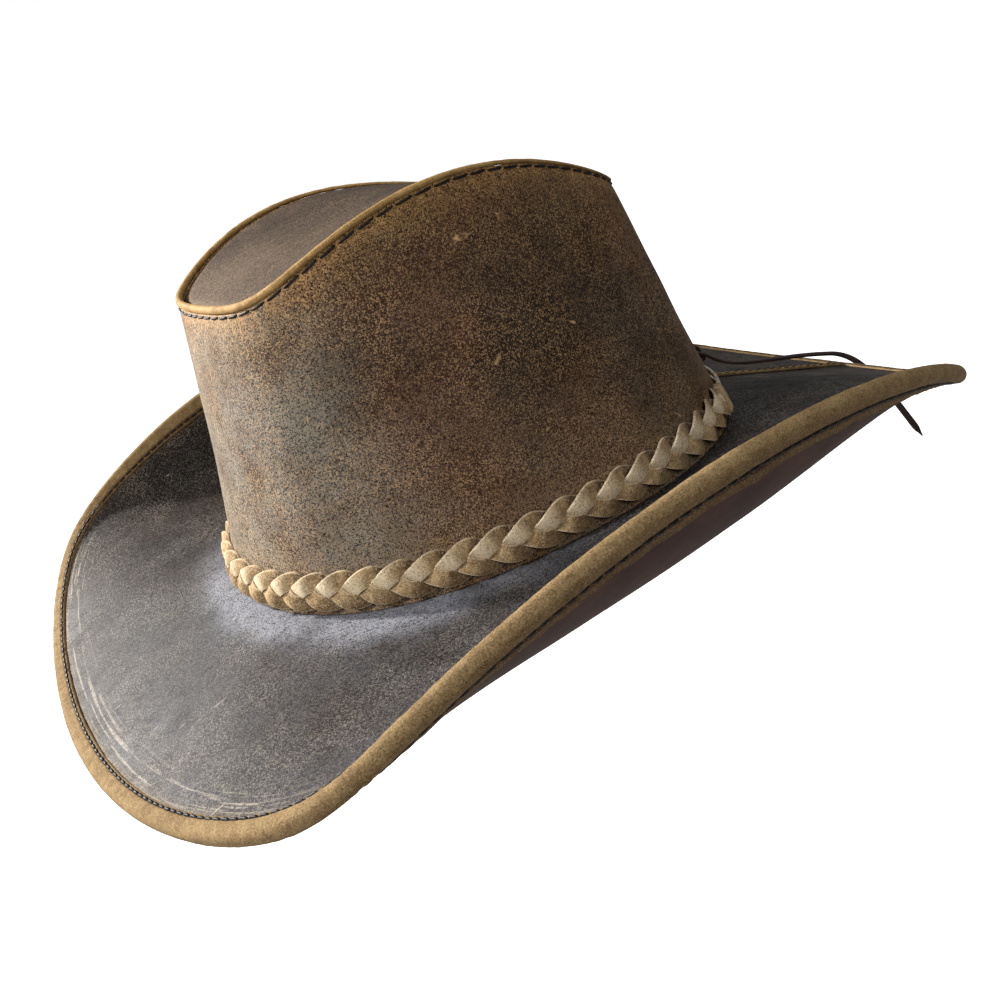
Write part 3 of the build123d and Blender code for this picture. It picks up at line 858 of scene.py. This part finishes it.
def make_seam_strip():
    """Tan strip over the joint of the top leather at the back, stitched down both sides."""
    end = 1 - BINDING_WIDTH / brim_width(BACK)
    sections = []
    for share in np.linspace(0.01, 0.995, 60):
        fraction = end * share
        ragged = noise.noise(Vector((share * 30, 2, 5))) * 0.3 * MM
        half = SEAM_STRIP_HALF_WIDTH + ragged
        corners = ((-half, 0.1), (half, 0.1), (half, 0.9), (half * 0.85, 1.2),
                   (0, 1.3), (-half * 0.85, 1.2), (-half, 0.9))
        sections.append([seam_strip_place(fraction, x, z * MM) for x, z in corners])
    points, faces = strip_points(sections)
    new_piece("back_seam_strip", points, faces, BINDING, "hat",
              ["brim_seam_strip"])
    parts = []
    for side in (-1, 1):
        for index in range(SEAM_STITCHES):
            start, stop = (end * (0.05 + (index + gap) * 0.044) for gap in (0.1, 0.85))
            first, last = (seam_strip_place(f, side * 1.6 * MM, 1.2 * MM) for f in (start, stop))
            normal = brim_normal(np.array(start), BACK)
            parts.append(stitch(first, last, normal, 0.24 * MM, 0.1 * MM))
    points, faces = joined(parts)
    new_piece("back_seam_stitches", points, faces, THREAD, "hat", ["brim_seam_thread"])


# ---------------------------------------- inside

def sweatcrown_wall(angle, height, depth):
    share = max(height, 0) / SWEATBAND_HEIGHT
    wall = crown_wall(angle, share * SWEATBAND_HEIGHT)
    ripple = wobble(wall, 0.03, 13) * 0.5 * MM * share
    inward = CROWN_LEATHER + 0.15 * MM + depth + 0.8 * MM * share - np.minimum(ripple, 0)
    return raised(wall, min(height, 0)) - scaled(outward(crown_base, angle), inward)


def make_sweatband():
    angles, skin = around(720), SWEATBAND_LEATHER
    heights = np.linspace(-COLLAR_DEPTH, SWEATBAND_HEIGHT, 24)
    outer = [sweatcrown_wall(angles, height, 0) for height in heights]
    inner = [sweatcrown_wall(angles, height, skin) for height in heights[::-1]]
    crest = sweatcrown_wall(angles, SWEATBAND_HEIGHT, skin / 2)
    crest = raised(crest, 0.35 * MM)
    ring_piece("sweatband_leather", [*outer, crest, *inner], LINING, "hat",
               ["sweatband"])
    holes = stitch_angles(crown_base, SWEATBAND_STITCHES)
    path = sweatcrown_wall(holes, -4.6 * MM, skin)
    stitch_row("sweatband_stitches", path, -outward(crown_base, holes), 0.32 * MM, 0.0,
               "sweatband_thread", share=0.7)


def make_joint_cover():
    sections = []
    for height in np.linspace(-3 * MM, SWEATBAND_HEIGHT - 2 * MM, 16):
        middle = sweatcrown_wall(BACK, height, 1.6 * MM)
        corners = ((-6, 0), (6, 0), (6, -0.7), (5, -1), (0, -1.15), (-5, -1), (-6, -0.7))
        sections.append([middle + np.array([x, y, 0]) * MM for x, y in corners])
    points, faces = strip_points(sections)
    new_piece("sweatband_tab", points, faces, LINING, "hat",
              ["sweatband_joint_cover"])


# ---------------------------------------- hat band

def strand_sections(index, count):
    """Sections of one flat braid lace, with its pale cut edges, a highlight where it crosses on top
    that is partly painted light, and painted shade where it goes under its neighbours and on its
    lower lobes.
    """
    share = np.linspace(0, 1, count)
    angle = -BRAID_END + 2 * BRAID_END * share
    phase = FULL_TURN * (BRAID_TURNS * share + index / 3)
    uneven = np.array([noise.noise(Vector((s * 25, index * 3.3, 1))) for s in share])
    height = BAND_HEIGHT + BRAID_SWING * np.sin(phase) * (1 + 0.06 * uneven)
    lift = BAND_LIFT - 0.05 * MM + BRAID_DEPTH * np.sin(2 * phase)
    pitch = length_of(np.diff(crown_base(angle), axis=0)).sum() / BRAID_TURNS
    lean = np.arctan(BRAID_SWING * FULL_TURN / pitch * np.cos(phase))
    tilt = BRAID_TILT * np.cos(phase)
    flat_end = np.minimum(1, 14 * np.minimum(share, 1 - share))
    lean, tilt = lean * flat_end, tilt * flat_end
    half_width, half_thick = STRAND_WIDTH / 2, STRAND_THICKNESS / 2
    profile = [(-1.0, -0.7), (-0.95, -1), (-0.5, -1), (0, -1), (0.5, -1), (0.95, -1), (1.0, -0.7),
               (1.0, 0.7), (0.96, 0.97), (0.88, 1.05), (0.4, 1.1), (0, 1.12), (-0.4, 1.1),
               (-0.88, 1.05), (-0.96, 0.97), (-1.0, 0.7)]
    top = BRAID_SWING + half_width
    sections = []
    for across, out in profile:
        wide = across * half_width * (1 + 0.05 * uneven)
        crown = 0.12 * MM * (1 - across ** 2)
        up = wide * np.cos(lean) * np.cos(tilt)
        aside = -wide * np.sin(lean)
        ridge = BRAID_RIDGE * ((height + up - BAND_HEIGHT) / top) ** 2
        rise = lift + out * half_thick + crown + wide * np.sin(tilt) - ridge
        radius = 0.5 * (BASE_HALF_WIDTH + BASE_HALF_LENGTH)
        sections.append(crown_wall(angle + aside / radius, height + up, rise))
    edge = np.array([0.9 if across < -0.94 else 0.3 * (across > 0.94) for across, out in profile])
    # Painted light: paler where the strand crosses on top and faces the lamps, partly the leather's
    # own lighter tone; painted shade on the lower lobes that face down and where it goes under a
    # neighbour.
    pale = 0.6 * np.clip(np.cos(phase - math.radians(15)), 0, 1) ** 3
    under = np.clip(-0.6 - 1.6 * np.sin(2 * phase), 0, 1)
    dark = np.maximum(0.45 * np.clip(-np.sin(phase - math.radians(20)), 0, 1), 0.95 * under)
    # The pale amount joins the cut edges with that highlight; the painted shade is kept off the cut
    # edges.
    cut = np.maximum(edge[None, :], pale[:, None])
    painted_shade = dark[:, None] * (1 - edge[None, :])
    return np.array(sections).transpose(1, 0, 2), {"cut": cut.ravel(), "painted_shade": painted_shade.ravel()}


def make_braid():
    for index in range(3):
        sections, values = strand_sections(index, 900)
        points, faces = strip_points(sections)
        new_piece(f"braid_lace_{index + 1}", points, faces, BRAID, "hat_band",
                  [f"braid_strand_{index + 1}"], values)


def rounded_block(corners_across, corners_out, count=20):
    """Corners of a rounded section, half width and half thickness given."""
    shape = []
    for turn in around(count):
        x = math.copysign(abs(math.cos(turn)) ** 0.4, math.cos(turn)) * corners_across
        y = math.copysign(abs(math.sin(turn)) ** 0.4, math.sin(turn)) * corners_out
        shape.append((x, y))
    return shape


def make_band_wraps():
    """Lace wound three times round each end of the braid."""
    pitch = (WRAP_END - BRAID_END) / WRAP_TURNS
    half = 0.504 * pitch
    for side, word in ((1, "left"), (-1, "right")):
        parts = []
        for turn_index in range(WRAP_TURNS):
            middle = BRAID_END + (0.4 + 1.1 * turn_index) * pitch
            sections = []
            for share, size in ((-1, 0.86), (-0.7, 0.97), (0, 1.0), (0.7, 0.97), (1, 0.86)):
                shape = rounded_block(5.9 * MM * size, 1.75 * MM * size)
                angle = np.array(side * (middle + share * half))
                sections.append([crown_wall(angle, BAND_HEIGHT + x, BAND_LIFT + y)
                                 for x, y in shape])
            parts.append(strip_points(sections))
        points, faces = joined(parts)
        new_piece(f"braid_end_{word}", points, faces, BRAID, "hat_band",
                  [f"band_wrap_{word}"], {"cut": np.full(len(points), 0.1)})


def make_tie_laces():
    """The doubled lace from each end of the braid to the knot."""
    for side, word in ((1, "left"), (-1, "right")):
        parts = []
        for row in (-1, 1):
            sections = []
            for share in np.linspace(0, 1, 40):
                angle = np.array(side * (WRAP_END + (LACE_END - WRAP_END) * share))
                sway = 0.5 * MM * math.sin(3 * share + row)
                height = BAND_HEIGHT + row * (TIE_HALF_GAP + sway)
                lift = 1.75 * MM + 0.25 * MM * math.sin(5 * share + row)
                shape = rounded_block(1.45 * MM, 0.65 * MM, 12)
                sections.append([crown_wall(angle, height + x, lift + y) for x, y in shape])
            parts.append(strip_points(sections))
        points, faces = joined(parts)
        new_piece(f"tie_{word}", points, faces, LACE, "hat_band",
                  [f"tie_lace_{word}"], {"cut": np.full(len(points), 0.2)})


def lace_loop(points_of_loop, half_width, half_thick, closed):
    """Flat lace along a smooth line of points, its flat side facing away from the crown."""
    line = np.array(points_of_loop)
    count = len(line)
    sections = []
    for index in range(count):
        after = line[(index + 1) % count] if closed or index < count - 1 else line[index]
        before = line[index - 1] if closed or index > 0 else line[index]
        along = (after - before) / np.linalg.norm(after - before)
        out = np.array([0.0, 1.0, 0.25])
        side = np.cross(along, out)
        side /= max(np.linalg.norm(side), 1e-9)
        out = np.cross(side, along)
        shape = rounded_block(half_width, half_thick, 12)
        sections.append([line[index] + side * x + out * y for x, y in shape])
    if closed:
        points = np.array(sections).reshape(-1, 3)
        return points, grid_faces(count, 12, True, True)
    return strip_points(sections)


def make_knot():
    """A flat overhand knot of lace: two crossed turns over each other."""
    low, high = (np.array(corner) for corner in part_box("lace_knot"))
    centre, half = (low + high) / 2, (high - low) / 2
    parts = []
    for turn_index, (lean, depth) in enumerate(((0.5, -0.22), (-0.6, 0.2))):
        loop = []
        for step in range(36):
            turn = FULL_TURN * step / 36
            x, z = 0.62 * math.cos(turn), 0.6 * math.sin(turn)
            y = depth + 0.25 * math.sin(2 * turn + turn_index)
            loop.append(centre + half * [x * math.cos(lean) - z * math.sin(lean), y,
                                         x * math.sin(lean) + z * math.cos(lean)])
        parts.append(lace_loop(loop, 1.5 * MM, 0.75 * MM, True))
    bar = [centre + half * [0.75 * math.sin(turn), 0.55 * math.cos(1.4 * turn), 0.9 * turn / 1.6]
           for turn in np.linspace(-1.4, 1.4, 24)]
    parts.append(lace_loop(bar, 1.6 * MM, 0.7 * MM, False))
    points, faces = joined(parts)
    new_piece("knot_of_lace", points, faces, LACE, "hat_band", ["lace_knot"],
              {"cut": np.full(len(points), 0.2)})


# Routes of the lace's two loose ends, the same points as the CAD model's
KNOT_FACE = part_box("lace_knot")[1][1] / MM
LONG_TAIL = [
    (-2, KNOT_FACE, 7), (-2, KNOT_FACE + 12, 7), (-3, 131, -3), (-7, 145, -10),
    (-11, 161, -15.8), (-13, 179, -21.3), (-11, 196, -26), (-4, 213, -31.5), (5, 222, -49),
    (13, 225, -64), (20, 229, -80),
]
SHORT_TAIL = [
    (-2, KNOT_FACE, 10.8), (-2, KNOT_FACE + 10, 10.8), (-9, 127, 3), (-19, 137, -5),
    (-31, 145, -10.5),
]


def smooth_route(route, count):
    """Points along the smooth line that a route's points control."""
    curve = bpy.data.curves.new("route", "CURVE")
    curve.dimensions = "3D"
    curve.resolution_u = 16
    spline = curve.splines.new("NURBS")
    spline.points.add(len(route) - 1)
    for point, place in zip(spline.points, route):
        point.co = (*[coordinate * MM for coordinate in place], 1)
    spline.order_u = 3
    spline.use_endpoint_u = True
    holder = add_object("route", curve)
    bpy.context.view_layer.update()
    depsgraph = bpy.context.evaluated_depsgraph_get()
    mesh = bpy.data.meshes.new_from_object(holder.evaluated_get(depsgraph))
    line = np.array([vertex.co[:] for vertex in mesh.vertices])
    bpy.data.objects.remove(holder)
    bpy.data.meshes.remove(mesh)
    run = np.concatenate([[0], np.cumsum(length_of(np.diff(line, axis=0)))])
    spaced = np.linspace(0, run[-1], count)
    return np.stack([np.interp(spaced, run, line[:, axis]) for axis in range(3)], -1), run[-1]


def make_tail(name, route, node):
    """A flat lace with a pointed end, lying along its route with a slow twist."""
    line, length = smooth_route(route, TAIL_SECTIONS)
    last = TAIL_SECTIONS - 1
    sections = []
    for index, place in enumerate(line):
        along = line[min(index + 1, last)] - line[max(index - 1, 0)]
        along /= np.linalg.norm(along)
        share = index / last
        hang = ramp(share, 0.62, 0.82)
        up = np.array([0.2 + 0.8 * hang, -0.35 * hang, 1.0 - 0.8 * hang])
        side = np.cross(up, along)
        side /= np.linalg.norm(side)
        up = np.cross(along, side)
        point_end = min(1.0, max(0.12, (1 - share) * length / TAIL_POINT))
        shape = rounded_block(TAIL_WIDTH / 2 * point_end, 0.7 * MM, 12)
        sections.append([place + side * x + up * y for x, y in shape])
    points, faces = strip_points(sections)
    piece = new_piece(name, points, faces, DARK_LACE, "hat_band", [node])


# ---------------------------------------- light and camera

def make_camera():
    roll = math.radians(CAMERA_ROLL)
    back = sight(CAMERA_AZIMUTH, CAMERA_ELEVATION)
    level = Vector((0, 0, 1)).cross(back).normalized()
    above = back.cross(level)
    right = level * math.cos(roll) + above * math.sin(roll)
    top = above * math.cos(roll) - level * math.sin(roll)
    place = right * CAMERA_SIDEWAYS + top * CAMERA_UPWARDS + back * CAMERA_DISTANCE
    data = bpy.data.cameras.new("camera")
    data.lens = CAMERA_LENS
    data.sensor_width = 36
    data.clip_start = 0.01
    camera = add_object("camera", data)
    facing = Matrix((right, top, back)).transposed().to_4x4()
    camera.matrix_world = Matrix.Translation(place) @ facing
    bpy.context.scene.camera = camera


def make_light(name, azimuth, elevation, distance, size, power, colour):
    way = sight(azimuth, elevation)
    data = bpy.data.lights.new(name, "AREA")
    data.shape = "SQUARE"
    data.size = size
    data.energy = power
    data.color = colour
    facing = way.to_track_quat("Z", "Y").to_matrix().to_4x4()
    add_object(name, data).matrix_world = Matrix.Translation(way * distance) @ facing


def make_world():
    """White to the camera; to the hat a cool sky that is brightest overhead."""
    world = bpy.data.worlds.new("studio")
    bpy.context.scene.world = world
    world.use_nodes = True
    tree = world.node_tree
    direction = tree.nodes.new("ShaderNodeTexCoord").outputs["Generated"]
    split = tree.nodes.new("ShaderNodeSeparateXYZ")
    tree.links.new(direction, split.inputs["Vector"])
    height = tree.nodes.new("ShaderNodeMapRange")
    tree.links.new(split.outputs["Z"], height.inputs["Value"])
    for key, number in (("From Min", 0.0), ("From Max", 1.0),
                        ("To Min", SKY_LOW), ("To Max", SKY_HIGH)):
        height.inputs[key].default_value = number
    sky = tree.nodes["Background"]
    sky.inputs["Color"].default_value = (*SKY_COLOUR, 1)
    tree.links.new(height.outputs["Result"], sky.inputs["Strength"])
    white = tree.nodes.new("ShaderNodeBackground")
    white.inputs["Color"].default_value = (1, 1, 1, 1)
    choice = tree.nodes.new("ShaderNodeMixShader")
    seen = tree.nodes.new("ShaderNodeLightPath").outputs["Is Camera Ray"]
    tree.links.new(seen, choice.inputs["Fac"])
    tree.links.new(sky.outputs[0], choice.inputs[1])
    tree.links.new(white.outputs[0], choice.inputs[2])
    tree.links.new(choice.outputs[0], tree.nodes["World Output"].inputs["Surface"])


def make_floor():
    """Level floor that shows white to the camera and sends little light back at the hat."""
    data = bpy.data.meshes.new("floor")
    corners = [(x * FLOOR_SIZE, y * FLOOR_SIZE, -FLOOR_DROP)
               for x, y in ((-1, -1), (1, -1), (1, 1), (-1, 1))]
    data.from_pydata(corners, [], [(0, 1, 2, 3)])
    floor = add_object("floor", data)
    paper = bpy.data.materials.new("white_paper")
    paper.use_nodes = True
    tree = paper.node_tree
    surface = tree.nodes["Principled BSDF"]
    surface.inputs["Base Color"].default_value = (0.35, 0.35, 0.35, 1)
    surface.inputs["Roughness"].default_value = 0.9
    surface.inputs["Emission Color"].default_value = (1, 1, 1, 1)
    seen = tree.nodes.new("ShaderNodeLightPath").outputs["Is Camera Ray"]
    tree.links.new(seen, surface.inputs["Emission Strength"])
    data.materials.append(paper)


make_camera()
make_tail("lace_end_long", LONG_TAIL, "lace_tail_long")
make_tail("lace_end_short", SHORT_TAIL, "lace_tail_short")
make_crown_wrap()
make_crown_tip()
make_welt()
make_tip_stitches()
make_crown_back_stitches()
make_brim_layer("brim_upper_layer", 0, TOP_LEATHER, BRIM, "brim_top_leather")
make_brim_layer("brim_lower_layer", TOP_LEATHER, BRIM_STACK, UNDER,
                "brim_under_leather")
make_binding()
make_edge_stitches()
make_seam_strip()
make_sweatband()
make_joint_cover()
make_braid()
make_band_wraps()
make_tie_laces()
make_knot()
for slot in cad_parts["brim_wire"].material_slots:
    slot.material = STEEL
make_world()
for lamp in LAMPS:
    make_light(*lamp)
make_floor()

bpy.context.scene.view_settings.view_transform = "Standard"
